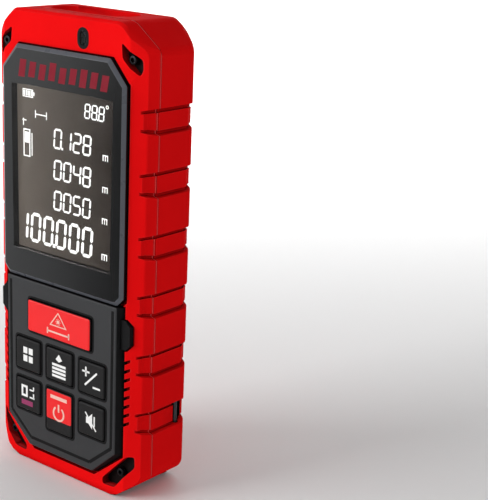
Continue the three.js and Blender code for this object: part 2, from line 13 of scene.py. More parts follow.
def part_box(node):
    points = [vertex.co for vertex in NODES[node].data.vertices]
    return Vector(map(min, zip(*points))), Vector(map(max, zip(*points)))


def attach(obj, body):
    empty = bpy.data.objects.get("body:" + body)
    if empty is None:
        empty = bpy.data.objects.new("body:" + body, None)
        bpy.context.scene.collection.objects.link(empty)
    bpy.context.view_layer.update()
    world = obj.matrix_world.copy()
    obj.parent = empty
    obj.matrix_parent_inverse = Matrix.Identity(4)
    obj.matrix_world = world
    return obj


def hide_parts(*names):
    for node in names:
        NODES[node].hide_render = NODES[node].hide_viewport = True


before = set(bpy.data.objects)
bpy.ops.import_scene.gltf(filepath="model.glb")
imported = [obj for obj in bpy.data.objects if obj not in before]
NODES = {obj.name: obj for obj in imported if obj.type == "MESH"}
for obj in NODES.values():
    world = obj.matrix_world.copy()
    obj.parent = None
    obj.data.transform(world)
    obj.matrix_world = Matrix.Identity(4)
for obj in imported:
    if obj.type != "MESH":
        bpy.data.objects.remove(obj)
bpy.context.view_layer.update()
MM = 0.001
BODY_CORNER = 1.3                # rounding of the housing's upright edges, in millimetres
random.seed(7)


# --- places from the frame ---
def span(node):
    """Box of a CAD node in millimetres: x0, x1, y0, y1, z0, z1."""
    low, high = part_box(node)
    return low.x / MM, high.x / MM, low.y / MM, high.y / MM, low.z / MM, high.z / MM


def middle(node):
    """Centre of a CAD node's box in millimetres."""
    x0, x1, y0, y1, z0, z1 = span(node)
    return (x0 + x1) / 2, (y0 + y1) / 2, (z0 + z1) / 2


# --- material helpers ---
class Nodes:
    """A small builder for one material's node tree."""

    def __init__(self, name):
        self.material = bpy.data.materials.new(name)
        self.material.use_nodes = True
        self.tree = self.material.node_tree
        self.bsdf = self.tree.nodes["Principled BSDF"]
        self.coords = self.add("ShaderNodeTexCoord").outputs["Object"]

    def put(self, socket, value):
        """Gives an input a value, or links it to another socket."""
        if isinstance(value, bpy.types.NodeSocket):
            self.tree.links.new(value, socket)
        else:
            socket.default_value = value

    def set(self, name, value):
        """The same for an input of the surface shader."""
        self.put(self.bsdf.inputs[name], value)

    def add(self, kind, inputs=None, **settings):
        node = self.tree.nodes.new(kind)
        for key, value in settings.items():
            setattr(node, key, value)
        for key, value in (inputs or {}).items():
            self.put(node.inputs[key], value)
        return node

    def noise(self, scale, detail=3.0, roughness=0.55, stretch=None):
        vector = self.coords
        if stretch:
            mapping = self.add("ShaderNodeMapping", {"Vector": vector, "Scale": stretch})
            vector = mapping.outputs["Vector"]
        node = self.add("ShaderNodeTexNoise", {"Vector": vector, "Scale": scale,
                                               "Detail": detail, "Roughness": roughness})
        return node.outputs["Fac"]

    def remap(self, value, low, high, to_low, to_high):
        node = self.add("ShaderNodeMapRange", {"Value": value, "From Min": low, "From Max": high,
                                               "To Min": to_low, "To Max": to_high})
        return node.outputs["Result"]

    def cloud(self, scale, low, high, detail=3.0):
        """Soft noise that ranges from low to high."""
        return self.remap(self.noise(scale, detail), 0.3, 0.7, low, high)

    def math(self, operation, a, b):
        return self.add("ShaderNodeMath", {0: a, 1: b}, operation=operation).outputs["Value"]

    def mix(self, factor, a, b):
        """Colours a and b, each a tuple or a socket, mixed by factor."""
        first, second = ((*c, 1.0) if isinstance(c, tuple) else c for c in (a, b))
        return self.add("ShaderNodeMix", {0: factor, 6: first, 7: second},
                        data_type="RGBA").outputs[2]

    def rounded(self, radius):
        """The surface normal as if its edges were rounded to that radius."""
        return self.add("ShaderNodeBevel", {"Radius": radius}, samples=4).outputs["Normal"]

    def edges(self, radius):
        """0 on flat ground, rising towards 1 where the surface turns within radius."""
        plain = self.add("ShaderNodeNewGeometry").outputs["Normal"]
        dot = self.add("ShaderNodeVectorMath", {0: self.rounded(radius), 1: plain},
                       operation="DOT_PRODUCT")
        return self.remap(dot.outputs["Value"], 1.0, 0.75, 0.0, 1.0)

    def crevice_shade(self, reach):
        """Painted shade: less than 1 in recesses narrower than the reach, where shadow gathers."""
        occlusion = self.add("ShaderNodeAmbientOcclusion", {"Distance": reach}, samples=6)
        return self.remap(occlusion.outputs["AO"], 0.25, 0.85, 0.0, 1.0)

    def bump(self, height, strength, distance, soften=0.0):
        node = self.add("ShaderNodeBump", {"Strength": strength, "Distance": distance,
                                           "Height": height})
        if soften:
            self.put(node.inputs["Normal"], self.rounded(soften))
        self.set("Normal", node.outputs["Normal"])


def shade(base, factor):
    return tuple(min(1.0, c * factor) for c in base)


def moulded(name, colour, roughness, grain=2600, depth=0.00002, wear=0.0, specular=0.35,
            mottle=0.06, crevice_shade=0.0025):
    """Moulded plastic or rubber: fine texture, mottling, rubbed edges and painted shade in
    recesses.
    """
    n = Nodes(name)
    body = n.mix(n.cloud(55, 0.0, 1.0, 2.0), shade(colour, 1 - mottle),
                 shade(colour, 1 + mottle))
    rubbed = n.math("MULTIPLY", n.edges(0.0005), n.remap(n.noise(420), 0.4, 0.65, 0.2, 1.0))
    pale = tuple(c + (1 - c) * 0.14 for c in colour)
    worn = n.mix(n.math("MULTIPLY", rubbed, wear), body, pale)
    # Painted shade: the colour darkens towards 0.22 of itself in narrow recesses.
    n.set("Base Color", n.mix(n.crevice_shade(crevice_shade), shade(colour, 0.22), worn))
    patches = n.cloud(320, roughness - 0.05, roughness + 0.07, 4.0)
    n.set("Roughness", n.math("SUBTRACT", patches, n.math("MULTIPLY", rubbed, 0.08)))
    n.set("Specular IOR Level", specular)
    n.bump(n.noise(grain, 2.0), 0.35, depth, 0.00018)
    return n.material


def metal(name, colour, roughness, stretch=(1, 1, 1), grain=1800):
    """Machined or plated metal with fine drawn marks and cloudy polish."""
    n = Nodes(name)
    n.set("Metallic", 1.0)
    marks = n.noise(grain, 3.0, 0.6, stretch)
    tint = n.mix(n.remap(marks, 0.3, 0.7, 0.0, 1.0), shade(colour, 0.88), shade(colour, 1.05))
    dark = n.mix(n.math("MULTIPLY", n.edges(0.0003), 0.35), tint, shade(colour, 1.2))
    n.set("Base Color", dark)
    n.set("Roughness", n.cloud(260, roughness - 0.06, roughness + 0.1, 4.0))
    n.bump(marks, 0.3, 0.000008, 0.0001)
    return n.material


def printed(name, colour, roughness=0.5, glow=0.0, level=0.5):
    """Thin ink or a lit display segment, with faint unevenness."""
    n = Nodes(name)
    uneven = n.cloud(1400, 0.0, 1.0)
    tint = n.mix(uneven, shade(colour, 0.9), colour)
    n.set("Base Color", tint)
    n.set("Roughness", n.cloud(700, roughness - 0.06, roughness + 0.08))
    n.set("Specular IOR Level", level)
    if glow:
        n.set("Emission Color", tint)
        n.set("Emission Strength", glow)
    n.bump(n.noise(2400), 0.2, 0.000003)
    return n.material


def clear(name, colour, roughness=0.03, ior=1.49):
    """Clear or tinted glass and acrylic, with faint smears in its polish."""
    n = Nodes(name)
    smear = n.noise(45, 4.0, 0.6, (1.0, 1.0, 0.35))
    n.set("Base Color", n.mix(n.remap(smear, 0.3, 0.7, 0.0, 1.0), shade(colour, 0.94), colour))
    n.set("Roughness", n.remap(smear, 0.35, 0.7, roughness, roughness + 0.04))
    n.set("Transmission Weight", 1.0)
    n.set("IOR", ior)
    n.bump(n.noise(60, 2.0), 0.03, 0.00001)
    return n.material


def across(n, node):
    """A ramp from 0 at the left of a node to 1 at its right."""
    split = n.add("ShaderNodeSeparateXYZ", {0: n.coords})
    x0, x1 = span(node)[:2]
    return n.remap(split.outputs["X"], x0 * MM, x1 * MM, 0.0, 1.0)


def gloss_with_painted_reflection(name, left, right):
    """Polished dark acrylic with faint smears, and a painted reflection: paler at the left, darker
    at the right.
    """
    n = Nodes(name)
    cloud = n.remap(n.noise(26, 2.0, 0.5, (1.0, 1.0, 0.5)), 0.3, 0.7, -0.15, 0.15)
    painted_light_ramp = n.math("ADD", across(n, "display_lens"), cloud)
    n.set("Base Color", n.mix(painted_light_ramp, left, right))
    smear = n.noise(90, 4.0, 0.6, (1.0, 1.0, 0.3))
    n.set("Roughness", n.remap(smear, 0.35, 0.7, 0.1, 0.2))
    n.set("Specular IOR Level", 0.11)
    n.bump(n.noise(140, 2.0), 0.03, 0.00001, 0.0001)
    return n.material


def lcd_glass(name):
    """The glowing ground of the display: warm grey with a fine dot pitch, and painted light that
    makes it paler at the left and darker at the right.
    """
    n = Nodes(name)
    cloud = n.cloud(70, -0.1, 0.1, 3.0)
    # Painted light: paler at the left, darker at the right.
    painted_light_ramp = n.math("ADD", across(n, "lcd_module"), cloud)
    ground = n.mix(painted_light_ramp, (0.124, 0.105, 0.088), (0.014, 0.009, 0.006))
    grid = n.add("ShaderNodeTexVoronoi", {"Scale": 3800, "Vector": n.coords})
    dots = n.remap(grid.outputs["Distance"], 0.1, 0.6, 0.9, 1.05)
    lit = n.mix(n.math("SUBTRACT", 1.0, dots), ground, (0.02, 0.018, 0.016))
    n.set("Base Color", lit)
    # The glow is partly backlight and partly painted light that stands in for the front light the
    # clear window keeps from the display.
    n.set("Emission Color", lit)
    n.set("Emission Strength", 1.0)
    n.set("Specular IOR Level", 0.15)
    n.set("Roughness", n.cloud(300, 0.28, 0.4))
    n.bump(n.noise(2600), 0.1, 0.000005)
    return n.material


def board(name, colour):
    """Solder mask over copper: raised tracks show as paler lines."""
    n = Nodes(name)
    swap = n.add("ShaderNodeMapping", {"Vector": n.coords, "Rotation": (math.pi / 2, 0, 0)})
    tracks = n.add("ShaderNodeTexBrick", {
        "Vector": swap.outputs["Vector"], "Scale": 260, "Mortar Size": 0.06,
        "Color1": (*colour, 1), "Color2": (*shade(colour, 1.25), 1),
        "Mortar": (*shade(colour, 2.2), 1)})
    n.set("Base Color", tracks.outputs["Color"])
    n.set("Roughness", n.cloud(500, 0.3, 0.45))
    n.bump(tracks.outputs["Fac"], 0.4, 0.00003)
    return n.material


PARTING_REAR = round(span("rear_shell")[2], 3)
RED = (0.74, 0.0045, 0.0055)
MATERIALS = {
    "red": moulded("housing_red", RED, 0.6, wear=0.12, specular=0.005),
    "cover": moulded("cover_red", (0.78, 0.008, 0.010), 0.5, wear=0.15, specular=0.12),
    # Painted shade: a darker copy of the housing red for the walls of the screw pockets.
    "pocket_shade": moulded("pocket_red_painted_shade", (0.26, 0.0015, 0.002), 0.6, specular=0.05),
    # Painted shade: black for the floors of the screw pockets and the inside of the lanyard slot.
    "recess_shade": moulded("recess_painted_shade", (0.006, 0.003, 0.003), 0.6, specular=0.08),
    # Painted highlight: a paler, pinker red for the parting line.
    "seam_highlight": moulded("seam_red_painted_highlight", (0.86, 0.045, 0.045), 0.4, specular=0.3,
                    crevice_shade=0.0001),
    # Painted sheen: a paler grey-blue for the sloping bevel of the display cover.
    "lens_edge_painted_sheen": moulded("lens_edge_painted_sheen", (0.070, 0.075, 0.088), 0.3, grain=900, wear=0.15,
                         mottle=0.02, crevice_shade=0.0002),
    "plate": moulded("plate_grey", (0.027, 0.028, 0.030), 0.45, grain=3200, wear=0.3,
                     specular=0.22),
    # Near-black: the black rim of the status window, the dark line on the keypad plate, and
    # painted shade on the plate's sides and round its keys.
    "black_and_painted_shade": moulded("plate_black_and_painted_shade", (0.005, 0.005, 0.0055), 0.6, specular=0.1),
    "key": moulded("key_black", (0.0085, 0.0085, 0.009), 0.5, grain=3600, wear=0.3,
                   specular=0.16),
    "key_red": moulded("key_red_top", (0.80, 0.010, 0.012), 0.42, grain=3600, wear=0.1,
                       specular=0.25, crevice_shade=0.0008),
    "lens": clear("lens_acrylic", (0.72, 0.72, 0.72), ior=1.15),
    # Painted reflection: pale at the left, near black at the right.
    "mask_painted_reflection": gloss_with_painted_reflection("lens_cover_painted_reflection", (0.036, 0.037, 0.038), (0.002, 0.0022, 0.0026)),
    "lcd": lcd_glass("lcd_ground"),
    "lit": printed("lcd_segments", (0.95, 0.95, 0.93), 0.5, 1.5),
    "ink": printed("white_ink", (0.86, 0.86, 0.85)),
    "warm_ink": printed("warm_ink", (0.86, 0.50, 0.42)),
    "red_ink": printed("red_ink", (0.21, 0.006, 0.018), level=0.1),
    "magenta_ink": printed("magenta_ink", (0.26, 0.008, 0.09)),
    "yellow_ink": printed("yellow_ink", (0.86, 0.80, 0.02), 0.45),
    "dark_ink": printed("dark_ink", (0.05, 0.045, 0.04)),
    "label": moulded("label_film", (0.062, 0.063, 0.066), 0.5, wear=0.1, mottle=0.04),
    "seal": moulded("seal_rubber", (0.012, 0.012, 0.013), 0.7, grain=1500, wear=0.15),
    "pad": moulded("pad_rubber", (0.23, 0.235, 0.24), 0.75, grain=1700, depth=0.00004, wear=0.2),
    "black": moulded("black_plastic", (0.016, 0.016, 0.018), 0.5, wear=0.2),
    "white": moulded("white_plastic", (0.75, 0.75, 0.72), 0.5, mottle=0.02),
    "silicone": moulded("silicone_mat", (0.09, 0.09, 0.092), 0.7, grain=1300, wear=0.1),
    "wrap": moulded("battery_wrap", (0.05, 0.16, 0.42), 0.32, grain=900, wear=0.1),
    "steel": metal("bright_steel", (0.60, 0.61, 0.62), 0.24),
    "nickel": metal("nickel_plate", (0.78, 0.78, 0.76), 0.2, grain=2400),
    "brass": metal("turned_brass", (0.72, 0.50, 0.20), 0.26, (1, 1, 8)),
    "oxide": metal("black_oxide", (0.06, 0.06, 0.065), 0.36),
    "screw": metal("screw_black", (0.016, 0.016, 0.018), 0.42),
    "gold": metal("gold_contact", (0.83, 0.60, 0.22), 0.22),
    "board": board("solder_mask", (0.010, 0.12, 0.045)),
    "optic": clear("coated_lens", (0.55, 0.20, 0.24), 0.02, 1.6),
    "pane": clear("laser_pane", (0.80, 0.88, 0.90), 0.02, 1.5),
    "window": clear("status_pane", (0.45, 0.47, 0.48), 0.04, 1.15),
    "sensor": moulded("sensor_grey", (0.10, 0.105, 0.11), 0.5, grain=1500,
                      specular=0.1, crevice_shade=0.0006),
}


# --- mesh helpers ---
def add_piece(name, mesh, material, body="housing", replaces=(), smooth=32):
    """A finished piece of a mesh, or of several: its material, shading, body and nodes."""
    if isinstance(mesh, list):
        mesh = join(mesh)
    mesh.name = name
    piece = bpy.data.objects.new(name, mesh)
    bpy.context.scene.collection.objects.link(piece)
    mesh.materials.clear()
    mesh.materials.append(MATERIALS[material])
    mesh.shade_smooth()
    mesh.set_sharp_from_angle(angle=math.radians(smooth))
    normals = piece.modifiers.new("face_normals", "WEIGHTED_NORMAL")
    normals.keep_sharp = True
    normals.weight = 90
    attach(piece, body)
    if replaces:
        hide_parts(*replaces)
    return piece


def mesh_from(points, faces):
    """A mesh from millimetre points, its faces turned outwards."""
    mesh = bpy.data.meshes.new("skin")
    mesh.from_pydata([(x * MM, y * MM, z * MM) for x, y, z in points], [], faces)
    shape = bmesh.new()
    shape.from_mesh(mesh)
    bmesh.ops.recalc_face_normals(shape, faces=shape.faces)
    shape.to_mesh(mesh)
    shape.free()
    return mesh


def round_corners(corners, radius, steps=5):
    """A closed outline whose corners become arcs of that radius, or as much as fits."""
    points = []
    count = len(corners)
    for i in range(count):
        here = Vector(corners[i])
        before = Vector(corners[i - 1]) - here
        after = Vector(corners[(i + 1) % count]) - here
        half = before.angle(after) / 2
        reach = min(radius / math.tan(half), before.length * 0.45, after.length * 0.45)
        start = here + before.normalized() * reach
        end = here + after.normalized() * reach
        for k in range(steps + 1):
            t = k / steps
            points.append(tuple(start * (1 - t) ** 2 + here * 2 * t * (1 - t) + end * t * t))
    return points


def inset_outline(points, distance):
    """Each point moved inwards along the mean normal of its two edges (outline turns left)."""
    moved = []
    count = len(points)
    for i in range(count):
        here = Vector(points[i])
        ahead = (Vector(points[(i + 1) % count]) - here).normalized()
        behind = (here - Vector(points[i - 1])).normalized()
        normal = Vector((-(ahead.y + behind.y), ahead.x + behind.x))
        if normal.length < 1e-9:
            normal = Vector((-ahead.y, ahead.x))
        normal.normalize()
        scale = max(0.5, normal.dot(Vector((-ahead.y, ahead.x))))
        moved.append(tuple(here + normal * distance / scale))
    return moved


def rectangle(cx, cz, w, h):
    return [(cx - w / 2, cz - h / 2), (cx + w / 2, cz - h / 2),
            (cx + w / 2, cz + h / 2), (cx - w / 2, cz + h / 2)]


def polar(cx, cz, radii):
    """Points at even angles round a centre, each at its own distance."""
    angles = [2 * math.pi * i / len(radii) for i in range(len(radii))]
    return [(cx + r * math.cos(a), cz + r * math.sin(a)) for r, a in zip(radii, angles)]


def circle(cx, cz, radius, count=32):
    return polar(cx, cz, [radius] * count)


def arc_points(cx, cz, radius, start, end, count=24):
    """Points on an arc between two angles in degrees, both ends included."""
    angles = [math.radians(start + (end - start) * i / count) for i in range(count + 1)]
    return [(cx + radius * math.cos(a), cz + radius * math.sin(a)) for a in angles]


def lift_y(points, y):
    return [(x, y, z) for x, z in points]


def lift_z(points, z):
    return [(x, y, z) for x, y in points]


def stack(rings, around=False):
    """A skin over rings of equal point count: capped at both ends, or closed on itself."""
    count = len(rings[0])
    points = [p for ring in rings for p in ring]
    faces = []
    for level in range(len(rings) if around else len(rings) - 1):
        low, high = level * count, (level + 1) % len(rings) * count
        for i in range(count):
            j = (i + 1) % count
            faces.append((low + i, low + j, high + j, high + i))
    if not around:
        faces.append(tuple(range(count)))
        faces.append(tuple(range((len(rings) - 1) * count, len(rings) * count)))
    return mesh_from(points, faces)


def moulded_plate(outline, face, seat, edge=0.3, steps=4):
    """A plate between two depths, the rim of its face rounded over."""
    drop = math.copysign(edge, seat - face)
    rings = [lift_y(outline, seat)]
    for k in range(steps + 1):
        turn = math.radians(90 * k / steps)
        inset = edge * (1 - math.cos(turn))
        rings.append(lift_y(inset_outline(outline, inset), face + drop * (1 - math.sin(turn))))
    return stack(rings)


def mesh_of(shape):
    mesh = bpy.data.meshes.new("skin")
    shape.to_mesh(mesh)
    shape.free()
    return mesh


def join(meshes):
    """Several meshes as one."""
    shape = bmesh.new()
    for mesh in meshes:
        shape.from_mesh(mesh)
        bpy.data.meshes.remove(mesh)
    return mesh_of(shape)


def flat_shape(outline, y, thick=0.04):
    """A thin printed shape on a face that looks towards -Y."""
    return stack([lift_y(outline, y), lift_y(outline, y - thick)])


def hull_corners(shape):
    """Positions of the vertices of a shape that are also vertices of its convex hull."""
    hull = shape.copy()
    result = bmesh.ops.convex_hull(hull, input=hull.verts)
    loose = {item for item in result["geom_interior"] if isinstance(item, bmesh.types.BMVert)}
    corners = {tuple(round(c, 6) for c in vert.co) for vert in hull.verts if vert not in loose}
    hull.free()
    return corners


def round_body_corners(shape, radius):
    """Rounds the edges that run front to back where the body's outline turns."""
    corners = hull_corners(shape)
    chosen = []
    for edge in shape.edges:
        along = (edge.verts[1].co - edge.verts[0].co)
        if not edge.is_manifold or abs(along.y) < 0.55 * along.length:
            continue
        on_hull = all(tuple(round(c, 6) for c in vert.co) in corners for vert in edge.verts)
        if on_hull and abs(edge.verts[0].co.x) > 15 * MM and edge.calc_face_angle(0) > 0.3:
            chosen.append(edge)
    bmesh.ops.bevel(shape, geom=chosen, offset=radius * MM, offset_type="OFFSET", segments=4,
                    profile=0.5, affect="EDGES", clamp_overlap=False)


def merged(node):
    """The CAD node's shape with its flat faces merged, for further work."""
    shape = bmesh.new()
    shape.from_mesh(NODES[node].data)
    bmesh.ops.remove_doubles(shape, verts=shape.verts, dist=1e-6)
    bmesh.ops.dissolve_limit(shape, angle_limit=math.radians(0.8), verts=shape.verts,
                             edges=shape.edges, use_dissolve_boundaries=False)
    return shape


def refined(node, width, least=1.6, corner=0.0, adjust=None):
    """The CAD node's shape with flat faces merged and its longer sharp edges rounded."""
    shape = merged(node)
    if adjust:
        adjust(shape)
    if corner:
        round_body_corners(shape, corner)
    crowded = {vert for edge in shape.edges if edge.calc_length() < least * MM
               for vert in edge.verts}
    chosen = [edge for edge in shape.edges
              if edge.is_manifold and edge.calc_face_angle(0) > math.radians(24)
              and edge.calc_length() > least * MM and crowded.isdisjoint(edge.verts)]
    bmesh.ops.bevel(shape, geom=chosen, offset=width * MM, offset_type="OFFSET", segments=3,
                    profile=0.5, affect="EDGES", clamp_overlap=False)
    return mesh_of(shape)


# --- housing ---
def inside(outline, x, z, slack):
    """Whether a point is within a convex outline that turns left, or nearly so."""
    for (ax, az), (bx, bz) in zip(outline, outline[1:] + outline[:1]):
        length = math.hypot(bx - ax, bz - az)
        if ((bx - ax) * (z - az) - (bz - az) * (x - ax)) / length < -slack:
            return False
    return True


LOWER_POCKET = [(13.4, 2.1), (17.2, 2.4), (22.4, 8.6), (22.3, 11.4), (20.6, 11.2), (13.2, 3.6)]
UPPER_POCKET = [(17.8, 104.2), (22, 100.7), (22.6, 102), (22.5, 104.3), (17.5, 107.6)]


def in_corner_pocket(centre, normal):
    """The sunken faces round the four housing screws."""
    x, z = abs(centre.x), centre.z
    return -8.9 < centre.y < -7.0 and (inside(LOWER_POCKET, x, z, 0.12)
                                       or inside(UPPER_POCKET, x, z, 0.12))


def on_pocket_floor(centre, normal):
    return in_corner_pocket(centre, normal) and normal.y < -0.7


def in_lanyard_slot(centre, normal):
    """Inside faces of the slot that the lanyard pin crosses."""
    x0, x1, y0, y1, z0, z1 = span("lanyard_pin")
    near = y0 - 1.0 < centre.y < y1 + 1.0 and z0 < centre.z < z1
    return near and 20 < centre.x < 23.6


def rim_loop(node, y):
    """Outline of a shell's parting face: the longest loop where that face ends, in X and Z."""
    shape = merged(node)
    round_body_corners(shape, BODY_CORNER)
    rims = {}
    for edge in shape.edges:
        flat = [abs(face.normal.y) > 0.99 and abs(face.calc_center_median().y - y * MM) < 1e-5
                for face in edge.link_faces]
        if flat.count(True) == 1:
            a, b = edge.verts
            rims.setdefault(a, []).append(b)
            rims.setdefault(b, []).append(a)
    loops = []
    while rims:
        start = next(iter(rims))
        loop, here, last = [], start, None
        while here in rims:
            loop.append((here.co.x / MM, here.co.z / MM))
            onward = [other for other in rims.pop(here) if other is not last and other in rims]
            last, here = here, onward[0] if onward else None
        loops.append(loop)
    shape.free()
    longest = max(loops, key=lambda points: max(p[0] for p in points) - min(p[0] for p in points))
    area = sum(a[0] * b[1] - b[0] * a[1] for a, b in zip(longest, longest[1:] + longest[:1]))
    return longest if area > 0 else longest[::-1]


def add_seam():
    """The tongue of the rear shell that closes the parting line just below the surface; its paler
    red is a painted highlight.
    """
    outer = rim_loop("rear_shell", PARTING_REAR)
    outer = inset_outline(outer, 0.04)
    inner = inset_outline(outer, 0.9)
    low, high = PARTING_REAR - 0.25, PARTING_REAR - 0.05
    rings = [lift_y(outer, low), lift_y(outer, high), lift_y(inner, high), lift_y(inner, low)]
    add_piece("parting_seam", stack(rings, around=True), "seam_highlight")


def build_housing():
    rear = add_piece("rear_housing", refined("rear_shell", 0.28, corner=BODY_CORNER), "red",
                     replaces=["rear_shell"])
    front = add_piece("front_housing", refined("front_shell", 0.28, corner=BODY_CORNER), "red",
                      replaces=["front_shell"])
    # Painted shade in the screw pockets: darker red walls and black floors.
    paint_faces(front, "pocket_shade", in_corner_pocket)
    paint_faces(front, "recess_shade", on_pocket_floor)
    # Painted shade: the inside faces of the lanyard slot are painted black.
    paint_faces(rear, "recess_shade", in_lanyard_slot)
    add_seam()


SIMPLE_FINISHES = {
    "lcd_module": "lcd", "lcd_backlight": "white", "key_mat": "silicone",
    "main_board": "board", "signal_shield": "steel", "processor_chip": "black",
    "buzzer": "black", "battery_connector": "white", "battery_pack": "wrap",
    "optics_frame": "black", "laser_module": "brass", "detector_board": "board",
    "usb_board": "board", "lanyard_pin": "oxide",
}


def finish_cad_nodes():
    """Procedural materials on the CAD nodes that keep their own shape."""
    for node, material in SIMPLE_FINISHES.items():
        mesh = NODES[node].data
        mesh.materials.clear()
        mesh.materials.append(MATERIALS[material])


def widen_keypad_face(shape):
    """Carries the flat of the keypad plate outwards, so that a narrow steep side is left."""
    front = min(vert.co.y for vert in shape.verts)
    for vert in shape.verts:
        x, z = abs(vert.co.x) / MM, vert.co.z / MM
        if vert.co.y > front + 0.05 * MM:
            continue
        side = math.copysign(1, vert.co.x)
        if abs(x - 17.3) < 0.2:
            vert.co.x += side * 0.9 * MM
            vert.co.z -= 0.4 * MM if z < 20 else 0.0
        elif abs(x - 10.5) < 0.2 and z < 6.5:
            vert.co.x += side * 0.3 * MM
            vert.co.z -= 0.9 * MM


def build_keypad_plate():
    """The grey plate round the keys, with a fine dark line along its border, painted shade on its
    steep sides and side tabs, and rings of painted shade round the keys.
    """
    plate = add_piece("keypad_surround", refined("keypad_plate", 0.22, adjust=widen_keypad_face),
                      "plate", replaces=["keypad_plate"])
    x0, x1, y0, y1, z0, z1 = span("keypad_plate")
    lens_half = span("display_lens")[1]
    # Painted shade: the steep sides and the side tabs of the plate are painted near-black.
    paint_faces(plate, "black_and_painted_shade", lambda c, n: abs(c.x) > lens_half - 0.1
                or (c.y > y0 + 0.4 and -0.93 < n.y < 0.5))
    line = [(17.15, z1 - 1.0), (17.15, 12.8), (10.2, 7.1), (-10.2, 7.1), (-17.15, 12.8),
            (-17.15, z1 - 1.0)]
    made = [flat_shape(bar(*a, *b, 0.8, 0.0), y0 + 0.02, 0.045) for a, b in zip(line, line[1:])]
    # Painted shade: a near-black ring round each key hole.
    for key in KEY_NODES:
        kx0, kx1, ky0, ky1, kz0, kz1 = span(key)
        key_shade_ring = rectangle((kx0 + kx1) / 2, (kz0 + kz1) / 2, kx1 - kx0 + 0.2, kz1 - kz0 + 0.2)
        made.append(ring_shape(round_corners(key_shade_ring, 1.3, 5), 0.5, y0 + 0.02, 0.045))
    add_piece("keypad_score_and_shade_rings", made, "black_and_painted_shade")


# --- display ---
def build_lens():
    """A glossy dark cover, bevelled all round, with a clear window over the display."""
    x0, x1, y0, y1, z0, z1 = span("display_lens")
    corners = [(x0 + 2, z0), (x1 - 2, z0), (x1, z0 + 2), (x1, z1 - 5.5), (x1 - 5, z1),
               (x0 + 5, z1), (x0, z1 - 5.5), (x0, z0 + 2)]
    outline = round_corners(corners, 1.0, 4)
    lcd = span("lcd_module")
    cx, cz = (lcd[0] + lcd[1]) / 2, (lcd[4] + lcd[5]) / 2 + 0.1
    width, height = lcd[1] - lcd[0] + 0.1, lcd[5] - lcd[4] + 0.2
    opening = round_corners(rectangle(cx, cz, width, height), 0.4, 3)
    matched = match_ring(opening, outline)
    levels = ((0.0, y1), (0.0, y0 + 0.62), (0.06, y0 + 0.54), (0.80, y0 + 0.06), (0.92, y0))
    rings = [lift_y(inset_outline(outline, inset), y) for inset, y in levels]
    rings += [lift_y(matched, y0), lift_y(matched, y1)]
    cover = add_piece("display_cover", stack(rings, around=True), "mask_painted_reflection",
                      replaces=["display_lens"], smooth=20)
    # Painted sheen: the sloping bevel faces of the cover are painted paler.
    paint_faces(cover, "lens_edge_painted_sheen", lambda c, n: -0.97 < n.y < -0.15)
    pane = rectangle(cx, cz, width - 0.02, height - 0.02)
    skin = stack([lift_y(round_corners(pane, 0.4, 3), y)
                                    for y in (y0 + 0.01, y0 + 0.36)])
    add_piece("display_window", skin, "lens")


def capsule(cx, cz, w, h, steps=8):
    """An outline with two half-round ends, upright or lying on its side."""
    radius = min(w, h) / 2
    turn = 0 if h > w else -90
    run, rise = w / 2 - radius, h / 2 - radius
    first = arc_points(cx + run, cz + rise, radius, turn, turn + 180, steps)
    return first + arc_points(cx - run, cz - rise, radius, turn + 180, turn + 360, steps)


def build_status_window():
    """The light sensor above the display: black rim, grey cells, clear pane."""
    x0, x1, y0, y1, z0, z1 = span("status_window")
    cx, cy, cz = middle("status_window")
    pane = moulded_plate(capsule(cx, cz, x1 - x0, z1 - z0), y0, y0 + 0.35, 0.12, 3)
    add_piece("status_pane", pane, "window", replaces=["status_window"])
    rim = ring_shape(capsule(cx, cz, x1 - x0 + 0.6, z1 - z0 + 0.6), 0.75, y0 - 0.01, 0.1)
    add_piece("status_rim", rim, "black_and_painted_shade")
    back = flat_shape(capsule(cx, cz, x1 - x0 - 0.2, z1 - z0 - 0.2), y1, 0.1)
    add_piece("status_base", back, "black_and_painted_shade")
    cells = [flat_shape(rectangle(cx - 0.45 + column * 0.9, cz - 1.35 + row * 0.9, 0.62, 0.62),
                        y1 - 0.12, 0.16) for row in range(4) for column in range(2)]
    add_piece("status_cells", cells, "sensor")


def build_accent_row():
    """A row of slanted dark red dashes above the display."""
    y = span("display_lens")[2] + 0.02
    made = []
    for i in range(9):
        left = -14.0 + i * 3.3
        low = 96.6 + (0.25 if i % 2 else 0.0)
        high = low + (3.6 if i % 3 else 4.1)
        dash = [(left, low), (left + 2.1, low), (left + 2.8, high), (left + 0.7, high)]
        made.append(flat_shape(dash, y))
    add_piece("accent_row", made, "red_ink")


def match_ring(inner, outer):
    """Points on the inner outline, one for each outer point, by the same angle."""
    cx = sum(p[0] for p in inner) / len(inner)
    cz = sum(p[1] for p in inner) / len(inner)
    matched = []
    for x, z in outer:
        ray = Vector((x - cx, z - cz))
        best = None
        for i in range(len(inner)):
            a = Vector(inner[i - 1]) - Vector((cx, cz))
            b = Vector(inner[i]) - Vector((cx, cz))
            edge = b - a
            cross = ray.x * edge.y - ray.y * edge.x
            if abs(cross) < 1e-9:
                continue
            along = (a.x * edge.y - a.y * edge.x) / cross
            across = (a.x * ray.y - a.y * ray.x) / cross
            if along > 0 and -1e-6 <= across <= 1 + 1e-6 and (best is None or along < best):
                best = along
        matched.append((cx + ray.x * best, cz + ray.y * best))
    return matched


SEGMENTS = {
    "0": "abcdef", "1": "bc", "2": "abged", "4": "fgbc", "5": "afgcd", "8": "abcdefg",
}


